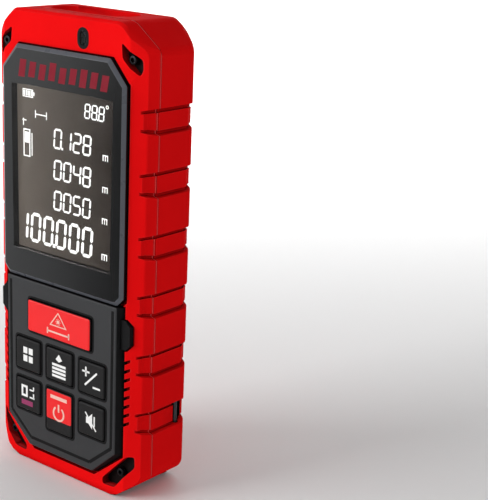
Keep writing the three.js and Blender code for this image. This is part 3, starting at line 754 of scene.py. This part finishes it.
def bar(x0, z0, x1, z1, width, point=0.5):
    """A bar with pointed ends between two points."""
    a = Vector((x0, z0))
    b = Vector((x1, z1))
    along = (b - a).normalized()
    across = Vector((-along.y, along.x)) * width / 2
    tip = along * width * point
    return [tuple(a), tuple(a + tip - across), tuple(b - tip - across), tuple(b),
            tuple(b - tip + across), tuple(a + tip + across)]


def segment_ends(text, w, h):
    """End points of the lit segments of a seven-segment digit."""
    ends = {
        "a": ((0, h), (w, h)), "b": ((w, h), (w, h / 2)), "c": ((w, h / 2), (w, 0)),
        "d": ((0, 0), (w, 0)), "e": ((0, 0), (0, h / 2)), "f": ((0, h / 2), (0, h)),
        "g": ((0, h / 2), (w, h / 2)),
    }
    return [ends[name] for name in SEGMENTS[text]]


def digit(text, x, z, w, h, thick, y):
    """A slightly slanted digit on the display, its lower left corner at (x, z)."""
    slant = 0.07
    made = []
    for a, b in segment_ends(text, w, h):
        a, b = Vector(a), Vector(b)
        step = (b - a).normalized() * thick * 0.14
        shape = bar(*(a + step), *(b - step), thick)
        made.append(flat_shape([(x + px + pz * slant, z + pz) for px, pz in shape], y))
    return made


def number(text, x, z, w, h, thick, pitch, y):
    """A row of seven-segment digits with points between them."""
    made = []
    for letter in text:
        if letter == ".":
            dot = rectangle(x - pitch + w + (pitch - w) / 2 + 0.05, z + thick * 0.1, thick * 1.1,
                            thick * 1.1)
            made.append(flat_shape(dot, y))
            continue
        made += digit(letter, x, z, w, h, thick, y)
        x += pitch
    return made


def strokes(pairs, width, y):
    """Plain straight strokes, each from one point to the next."""
    return [flat_shape(bar(*a, *b, width, 0.0), y) for a, b in pairs]


def unit_mark(x, z, size, y):
    """A small three-legged metre mark."""
    thick = size * 0.17
    legs = [((x + i * size * 0.5, z), (x + i * size * 0.5, z + size * 0.9)) for i in range(3)]
    top = [((x - thick / 2, z + size * 0.9), (x + size + thick / 2, z + size * 0.9))]
    return strokes(legs + top, thick, y)


def build_display_marks():
    y = span("lcd_module")[2] - 0.02
    marks = []
    rows = (("0.128", 81.2), ("0048", 73.9), ("0050", 66.6))
    for text, z in rows:
        marks += number(text, -3.9, z, 2.2, 4.3, 0.5, 3.15, y)
        marks += unit_mark(11.9, z - 0.5, 1.4, y)
    marks += number("100.000", -16.0, 57.5, 2.75, 6.5, 0.8, 4.3, y)
    marks += unit_mark(11.9, 57.6, 1.5, y)
    marks += number("88.8", 6.0, 89.6, 1.5, 3.1, 0.36, 2.2, y)
    marks.append(ring_shape(circle(13.0, 92.9, 0.45, 16), 0.2, y))
    marks.append(frame_shape(-14.4, -10.9, 91.7, 93.6, 0.22, y))
    for i in range(4):
        marks.append(flat_shape(rectangle(-13.8 + i * 0.78, 92.65, 0.5, 1.2), y))
    marks.append(flat_shape(rectangle(-10.6, 92.65, 0.35, 0.8), y))
    marks += strokes([((-10.1, 87.2), (-10.1, 89.0)), ((-6.4, 87.2), (-6.4, 89.0)),
                      ((-10.1, 88.1), (-6.4, 88.1))], 0.26, y)
    marks.append(frame_shape(-14.2, -11.9, 77.6, 84.2, 0.3, y))
    marks.append(flat_shape(rectangle(-13.05, 82.2, 1.3, 2.6), y))
    marks += strokes([((-14.2, 84.9), (-14.2, 86.6)), ((-14.5, 86.2), (-13.2, 86.2)),
                      ((-11.3, 78.0), (-11.3, 83.4))], 0.26, y)
    add_piece("display_segments", marks, "lit")


def ring_shape(outline, width, y, thick=0.04):
    """A thin ring on a face that looks towards -Y; its outer edge is the outline."""
    inner = inset_outline(outline, width)
    rings = [lift_y(outline, y), lift_y(outline, y - thick), lift_y(inner, y - thick),
             lift_y(inner, y)]
    return stack(rings, around=True)


def frame_shape(x0, x1, z0, z1, width, y):
    return ring_shape(rectangle((x0 + x1) / 2, (z0 + z1) / 2, x1 - x0, z1 - z0), width, y)


# --- keys ---
KEY_NODES = ("key_measure", "key_function", "key_area", "key_plus_minus", "key_reference",
             "key_power", "key_mute")
FLANGE = 1.3


def build_key(node):
    """A rubber key: upright sides, a rounded shoulder and a slightly dished top."""
    x0, x1, y0, y1, z0, z1 = span(node)
    cx, cy, cz = middle(node)
    w, h = x1 - x0 - FLANGE, z1 - z0 - FLANGE

    def ring(inset, y):
        corner = max(0.25, 0.65 - inset)
        shape = rectangle(cx, cz, w - 2 * inset, h - 2 * inset)
        return lift_y(round_corners(shape, corner, 6), y)

    rings = [ring(-FLANGE / 2, y1), ring(-FLANGE / 2, y1 - 0.7), ring(0, y1 - 0.7)]
    shoulder = 0.4
    for k in range(6):
        turn = math.radians(18 * k)
        rings.append(ring(shoulder * (1 - math.cos(turn)), y0 + shoulder * (1 - math.sin(turn))))
    for inset, sink in ((0.8, 0.01), (1.4, 0.035), (2.2, 0.06)):
        rings.append(ring(inset, y0 + sink))
    piece = add_piece(node + "_cap", stack(rings), "key", body=node,
                      replaces=[node])
    return piece, (cx, cz, w, h, y0)


def paint_faces(piece, material, chooses):
    """Gives another material to the faces that a test on their centre and normal picks."""
    piece.data.materials.append(MATERIALS[material])
    for face in piece.data.polygons:
        if chooses(face.center / MM, face.normal):
            face.material_index = len(piece.data.materials) - 1


def build_keys():
    places = {}
    for node in KEY_NODES:
        piece, places[node] = build_key(node)
        cx, cz, w, h, y0 = places[node]
        if node == "key_measure":
            paint_faces(piece, "key_red", lambda c, n: n.y < -0.6)
        if node == "key_power":
            tile = round_corners(rectangle(cx, cz + 1.45, w - 0.35, h - 3.3), 0.5, 5)
            add_piece("key_power_tile", moulded_plate(tile, y0 - 0.02, y0 + 0.25, 0.12, 3),
                      "key_red", body=node)
    for node, draw, ink in ICONS:
        cx, cz, w, h, y0 = places[node]
        name = draw.__name__
        sink = -0.02 if node == "key_power" else INK_SINK
        mesh = join(draw())
        mesh.transform(Matrix.Translation((cx * MM, (y0 + sink) * MM, cz * MM)))
        add_piece(name, mesh, ink, body=node)


# The icons are drawn round the middle of their key, at a depth of 0.
def icon_measure():
    shapes = [ring_shape([(-2.9, -0.6), (2.9, -0.6), (0, 3.1)], 0.3, 0),
              flat_shape(circle(0, 0.65, 0.45, 16), 0)]
    for i in range(8):
        ray = Vector((math.cos(math.radians(45 * i)), math.sin(math.radians(45 * i))))
        start = Vector((0, 0.65)) + ray * 0.55
        shapes += strokes([(start, start + ray * 0.3)], 0.14, 0)
    return shapes + strokes([((-3.6, -2.2), (3.6, -2.2)), ((-3.6, -3.0), (-3.6, -1.4)),
                             ((3.6, -3.0), (3.6, -1.4))], 0.42, 0)


def icon_function():
    return [flat_shape(rectangle(x, z, 1.4, 1.6), 0)
            for x in (-0.95, 0.95) for z in (-1.05, 1.05)]


def icon_area():
    lines = [flat_shape(rectangle(0, -2.7 + i * 0.95, 4.6, 0.62), 0) for i in range(4)]
    return lines + [flat_shape([(-1.1, 1.6), (0, 1.0), (1.1, 1.6), (0, 3.0)], 0)]


def icon_plus_minus():
    return strokes([((-3.0, 1.5), (-0.6, 1.5)), ((-1.8, 0.3), (-1.8, 2.7)),
                    ((-2.1, -1.9), (1.8, 1.9)), ((0.5, -1.9), (2.9, -1.9))], 0.48, 0)


def icon_reference():
    return [frame_shape(-2.4, -0.2, -0.6, 2.4, 0.6, 0)] + strokes(
        [((0.5, -0.4), (2.2, -0.4)), ((1.9, -0.4), (1.9, 0.8)), ((0.5, 1.6), (1.9, 1.6)),
         ((1.9, 1.6), (1.9, 2.6))], 0.4, 0)


def icon_reference_tag():
    return [flat_shape(rectangle(-0.4, -2.1, 4.0, 1.3), 0)]


def icon_power():
    outer = arc_points(0, -0.3, 2.0, 125, 415)
    inner = arc_points(0, -0.3, 1.5, 415, 125)
    return [flat_shape(outer + inner, 0), *strokes([((0, 0.1), (0, 2.1))], 0.5, 0),
            flat_shape(rectangle(0, 3.7, 5.6, 0.9), 0)]


def icon_mute():
    horn = [(-1.6, -0.8), (-0.8, -0.8), (0.4, -2.0), (0.4, 2.0), (-0.8, 0.8), (-1.6, 0.8)]
    return [flat_shape(horn, 0), *strokes([((-1.9, 1.9), (1.7, -2.2))], 0.36, -0.02),
            *strokes([((1.1, -1.2), (1.1, 1.4))], 0.4, 0)]


INK_SINK = 0.06                  # the dished tops lie this far behind the front of a key
ICONS = (
    ("key_measure", icon_measure, "warm_ink"), ("key_function", icon_function, "ink"),
    ("key_area", icon_area, "ink"), ("key_plus_minus", icon_plus_minus, "ink"),
    ("key_reference", icon_reference, "ink"), ("key_reference", icon_reference_tag, "magenta_ink"),
    ("key_power", icon_power, "warm_ink"), ("key_mute", icon_mute, "ink"),
)


# --- back and ends ---
def back_shape(outline, y, thick=0.04):
    """A thin printed or raised shape on a face that looks towards +Y."""
    return flat_shape(outline, y, -thick)


def back_ring(outline, width, y):
    """A thin ring on a face that looks towards +Y."""
    return ring_shape(outline, width, y, -0.04)


def back_digit(text, x, z, w, h, thick, y):
    """A seven-segment digit that reads from behind, its lower left corner at (x, z)."""
    return [back_shape([(x - px, z + pz) for px, pz in bar(*a, *b, thick, 0.3)], y)
            for a, b in segment_ends(text, w, h)]


def build_label():
    """The rating label: printed bars, a yellow strip and plain symbols, with no wording."""
    x0, x1, y0, y1, z0, z1 = span("label_plate")
    cx, cy, cz = middle("label_plate")
    plate = moulded_plate(round_corners(rectangle(cx, cz, x1 - x0, z1 - z0), 0.8), y1, y0, 0.08)
    add_piece("rating_label", plate, "label", replaces=["label_plate"])
    right = x1 - 1.3
    strip = back_shape(round_corners(rectangle(-0.2, z1 - 12.0, 25.4, 8.6), 0.4, 3), y1)
    add_piece("label_strip", strip, "yellow_ink")
    top = y1 + 0.05
    triangle = [(8.9, z1 - 15.0), (3.5, z1 - 15.0), (6.2, z1 - 9.6)]
    dark = [back_ring(triangle, 0.45, top), back_shape(circle(6.2, z1 - 13.3, 0.55, 12), top),
            back_ring(capsule(-8.9, z1 - 12.0, 6.0, 4.6), 0.4, top),
            back_shape(rectangle(-8.9, z1 - 12.0, 2.6, 1.3), top)]
    for i, length in enumerate((6.2, 7.4, 4.8)):
        dark.append(back_shape(rectangle(-1.4, z1 - 9.6 - i * 2.1, length, 0.55), top))
    white = [back_shape(rectangle(-4.6, z1 - 5.2, 15.6, 2.9), y1),
             back_shape(rectangle(right - 13.0, z1 - 19.2, 2.7, 0.5), y1)]
    for i, text in enumerate("100"):
        white += back_digit(text, right - 1.0 - i * 3.5, z1 - 21.4, 2.2, 3.5, 0.75, y1)
        white.append(back_shape(rectangle(right - 11.9 - i * 1.1, z1 - 20.3, 0.5, 2.2), y1))
    for row in range(2):
        x = right - 0.2
        while x > x0 + 2.2:
            dash = random.choice((0.5, 0.8, 1.2, 1.6))
            line = rectangle(x - dash / 2, z1 - 24.0 - row * 2.1, dash, 0.42)
            white.append(back_shape(line, y1, 0.03))
            x -= dash + 0.42
    base = z0 + 4.6
    white += [back_ring(rectangle(left, base, 4.6, 5.0), 0.75, y1) for left in (10.0, 3.9)]
    sign = [(0.1, base - 1.0), (-3.9, base - 1.0), (-1.9, base + 2.6)]
    white += [back_shape(rectangle(10.0, base, 2.0, 2.2), y1), back_ring(sign, 0.4, y1),
              back_shape(rectangle(-1.9, base - 2.2, 4.2, 0.8), y1),
              back_ring(circle(-8.9, base, 3.4, 40), 0.95, y1),
              back_shape(circle(-8.9, base, 1.0, 20), y1)]
    add_piece("label_white_marks", white, "ink")
    add_piece("label_dark_marks", dark, "dark_ink")


def build_back_plates():
    add_piece("battery_cover_skin", refined("battery_cover", 0.2), "cover",
              body="battery_cover", replaces=["battery_cover"])
    add_piece("lower_plate_skin", refined("lower_back_plate", 0.16), "cover",
              replaces=["lower_back_plate"])
    y = span("lower_back_plate")[3]
    made = [back_shape(capsule(0, 24.2 - i * 2.1, length, 0.9), y, 0.14)
            for i, length in enumerate((14.0, 12.4, 14.0, 9.6))]
    add_piece("lower_plate_relief", made, "cover")


def build_tripod_insert():
    """A nickel insert: turned flange and a real helical thread down its bore."""
    x0, x1, y0, y1, z0, z1 = span("tripod_insert")
    cx, cy, cz = middle("tripod_insert")
    flange = (x1 - x0) / 2
    count = 64
    bore, root, pitch = 2.75, 3.2, 1.27
    outer = [(4.4, y0), (4.4, y1 - 0.9), (flange, y1 - 0.9), (flange, y1 - 0.25),
             (flange - 0.25, y1), (4.15, y1), (3.95, y1 - 0.12), (root + 0.35, y1 - 0.12),
             (root, y1 - 0.4)]
    rings = [lift_y(circle(cx, cz, r, count), y) for r, y in outer]
    steps = 46
    for k in range(steps + 1):
        y = y1 - 0.45 - (y1 - 0.45 - y0) * k / steps
        radii = []
        for i in range(count):
            saw = abs(((y1 - y) / pitch + i / count) % 1.0 * 2 - 1)
            depth = max(0.0, min(1.0, 1.25 * saw - 0.12))
            radii.append(root - (root - bore) * depth * min(1.0, k / 3))
        rings.append(lift_y(polar(cx, cz, radii), y))
    add_piece("threaded_insert", stack(rings, around=True), "nickel",
              replaces=["tripod_insert"], smooth=40)
    floor = [lift_y(circle(cx, cz, 3.25), y0 - sink) for sink in (0.32, 0.05)]
    add_piece("insert_floor", stack(floor), "black")


def build_foot_pads():
    """Grey rubber pads round the bottom rear edge, each with fine grip ribs."""
    for node in ("foot_pad_right", "foot_pad_left"):
        add_piece(node + "_skin", refined(node, 0.3), "pad",
                  replaces=[node])
        x0, x1, y0, y1, z0, z1 = span(node)
        ribs = [back_shape(capsule(x0 + 0.75 + i * (x1 - x0 - 1.5) / 4, (z0 + z1) / 2 + 0.2,
                                   0.4, z1 - z0 - 1.3), y1 - 0.02, 0.1) for i in range(5)]
        add_piece(node + "_ribs", ribs, "pad")


def build_usb():
    """Socket shell with its tongue and contacts, and the flap with its plug seal."""
    x0, x1, y0, y1, z0, z1 = span("usb_socket")
    cx, cy, cz = middle("usb_socket")
    w, h = x1 - x0, y1 - y0
    levels = ((0, z1, 1.25), (0, z0 + 0.1, 1.25), (0.1, z0, 1.15), (0.3, z0, 1.0),
              (0.42, z0 + 0.14, 0.9), (0.45, z1 - 1.0, 0.9))
    rings = [ring_box(cx, cy, w - 2 * i, h - 2 * i, z, corner, 6) for i, z, corner in levels]
    add_piece("usb_shell", stack(rings), "steel",
              replaces=["usb_socket"])
    tongue = [ring_box(cx, cy, 6.2, 0.7, z, 0.2) for z in (z0 + 0.9, z1 - 0.9)]
    add_piece("usb_tongue", stack(tongue), "black")
    pins = [stack([ring_box(cx - 2.45 + i * 0.7, cy + side, 0.34, 0.06, z, 0.02)
                   for z in (z0 + 1.2, z0 + 4.5)]) for side in (-0.37, 0.37) for i in range(8)]
    add_piece("usb_pins", pins, "gold")
    add_piece("usb_flap_skin", refined("usb_flap", 0.14, least=1.0), "red", body="usb_flap",
              replaces=["usb_flap"])
    x0, x1, y0, y1, z0, z1 = span("usb_flap_seal")
    cx, cy, cz = middle("usb_flap_seal")
    w, h = x1 - x0, y1 - y0
    levels = ((0.0, z0), (0.0, z0 + 0.35), (0.12, z0 + 0.45), (0.12, z0 + 0.7),
              (0.0, z0 + 0.8), (0.0, z1 - 0.3), (0.12, z1 - 0.1), (0.35, z1),
              (1.1, z1), (1.4, z1 - 0.25), (1.45, z0 + 0.5))
    rings = [ring_box(cx, cy, w - 2 * i, h - 2 * i, z, max(0.3, 1.2 - i * 0.5)) for i, z in levels]
    add_piece("flap_seal_plug", stack(rings), "seal", body="usb_flap",
              replaces=["usb_flap_seal"])


def ring_box(cx, cy, w, h, z, corner, steps=5):
    """A level ring of rectangular outline with rounded corners."""
    return lift_z(round_corners(rectangle(cx, cy, w, h), corner, steps), z)


def build_optics():
    """Coated receiver lens and the window of the laser, each in a turned black ring."""
    for node, name, material in (("receiver_lens", "receiver_glass", "optic"),
                                 ("laser_window", "laser_pane", "pane")):
        x0, x1, y0, y1, z0, z1 = span(node)
        cx, cy, cz = middle(node)
        radius = (x1 - x0) / 2
        crown = 0.9 if node == "receiver_lens" else 0.0
        levels = [(radius - 0.1, z0), (radius, z0 + 0.1), (radius, z1 - crown - 0.12)]
        for k in range(9):
            share = 1 - k / 9
            levels.append(((radius - 0.15) * share, z1 - crown * share * share))
        rings = [lift_z(circle(cx, cy, r, 48), z) for r, z in levels]
        add_piece(name, stack(rings), material, replaces=[node])
        wide = radius + 0.26
        collar = [(wide, z0 + 0.2), (wide, z1 - crown - 0.1), (wide - 0.1, z1 - crown),
                  (radius + 0.04, z1 - crown), (radius + 0.04, z0 + 0.2)]
        tube = [lift_z(circle(cx, cy, r, 48), z) for r, z in collar]
        add_piece(name + "_ring", stack(tube, around=True), "black")
    cx, cy, cz = middle("receiver_lens")
    z0 = span("receiver_lens")[4]
    disc = [lift_z(circle(cx, cy, 3.3), z) for z in (z0 - 1.2, z0 - 1.0)]
    add_piece("receiver_well", stack(disc), "black")


def build_screws():
    """Black screws with a hexagon socket in each head."""
    count, sixth = 36, math.pi / 3
    hexagon = [0.5 / math.cos((2 * math.pi * i / count + sixth / 2) % sixth - sixth / 2)
               for i in range(count)]
    for index in range(1, 5):
        node = f"housing_screw_{index}"
        x0, x1, y0, y1, z0, z1 = span(node)
        cx, cy, cz = middle(node)
        radius = (x1 - x0) / 2
        levels = [(0.7, y1), (0.7, y0 + 1.0), (radius, y0 + 1.0), (radius, y0 + 0.18),
                  (radius - 0.06, y0 + 0.06), (radius - 0.18, y0)]
        rings = [lift_y(circle(cx, cz, r, count), y) for r, y in levels]
        rings += [lift_y(polar(cx, cz, hexagon), y) for y in (y0, y0 + 0.6)]
        add_piece(f"screw_{index}", stack(rings), "screw",
                  replaces=[node])


# --- stage, light and camera ---
def build_stage():
    """A seamless pale floor that curves up behind the instrument."""
    low = -0.00005
    radius = 0.6
    profile = [(-2.2, low), (0.9, low)]
    for k in range(1, 13):
        turn = math.radians(90 * k / 12)
        profile.append((0.9 + radius * math.sin(turn), low + radius * (1 - math.cos(turn))))
    profile.append((1.5, 3.2))
    points = []
    for y, z in profile:
        points += [(-3.2, y, z), (3.2, y, z)]
    faces = [(2 * i, 2 * i + 1, 2 * i + 3, 2 * i + 2) for i in range(len(profile) - 1)]
    mesh = bpy.data.meshes.new("floor")
    mesh.from_pydata(points, [], faces)
    floor = bpy.data.objects.new("floor", mesh)
    bpy.context.scene.collection.objects.link(floor)
    turn = math.radians(38)
    floor.matrix_world = Matrix.Rotation(turn, 4, "Z")
    mesh.shade_smooth()
    n = Nodes("floor_white")
    n.set("Base Color", n.mix(n.noise(3.0), (0.86, 0.86, 0.86), (0.90, 0.90, 0.90)))
    n.set("Roughness", 0.8)
    mesh.materials.append(n.material)


def add_light(name, place, size, watts, aim=(0, 0, 0.055)):
    light = bpy.data.lights.new(name, "AREA")
    light.shape = "RECTANGLE"
    light.size = size[0]
    light.size_y = size[1]
    light.energy = watts
    lamp = bpy.data.objects.new(name, light)
    bpy.context.scene.collection.objects.link(lamp)
    lamp.location = place
    lamp.rotation_euler = (Vector(aim) - Vector(place)).to_track_quat("-Z", "Y").to_euler()


def build_light():
    world = bpy.data.worlds.new("studio")
    bpy.context.scene.world = world
    bpy.context.scene.view_settings.view_transform = "Standard"
    world.use_nodes = True
    background = world.node_tree.nodes["Background"].inputs
    background["Color"].default_value = (1, 1, 1, 1)
    background["Strength"].default_value = 0.36
    add_light("key_light", (-0.55, -0.85, 0.35), (0.6, 0.6), 8.8)
    add_light("fill_light", (0.9, -0.3, 0.3), (0.6, 0.8), 1.7)
    add_light("backdrop_light", (-0.30, 0.42, 0.75), (0.9, 0.5), 14.0, aim=(-0.9, 1.1, 0.1))


CAMERA_PLACE = (0.20841, -0.20869, 0.14285)
CAMERA_AIM = (-0.58957, 0.75742, -0.28056)
CAMERA_UP = (-0.20704, 0.19403, 0.95890)
CAMERA_LENS = 91.86


def build_camera():
    camera = bpy.data.cameras.new("camera")
    camera.lens = CAMERA_LENS
    camera.sensor_width = 36
    camera.clip_start = 0.01
    holder = bpy.data.objects.new("camera", camera)
    bpy.context.scene.collection.objects.link(holder)
    back = -Vector(CAMERA_AIM).normalized()
    up = Vector(CAMERA_UP).normalized()
    right = up.cross(back).normalized()
    turn = Matrix((right, up, back)).transposed()
    holder.matrix_world = Matrix.Translation(CAMERA_PLACE) @ turn.to_4x4()
    bpy.context.scene.camera = holder


build_housing()
build_keypad_plate()
build_status_window()
finish_cad_nodes()
build_lens()
build_accent_row()
build_display_marks()
build_keys()
build_label()
build_back_plates()
build_tripod_insert()
build_foot_pads()
build_usb()
build_optics()
build_screws()
build_stage()
build_light()
build_camera()
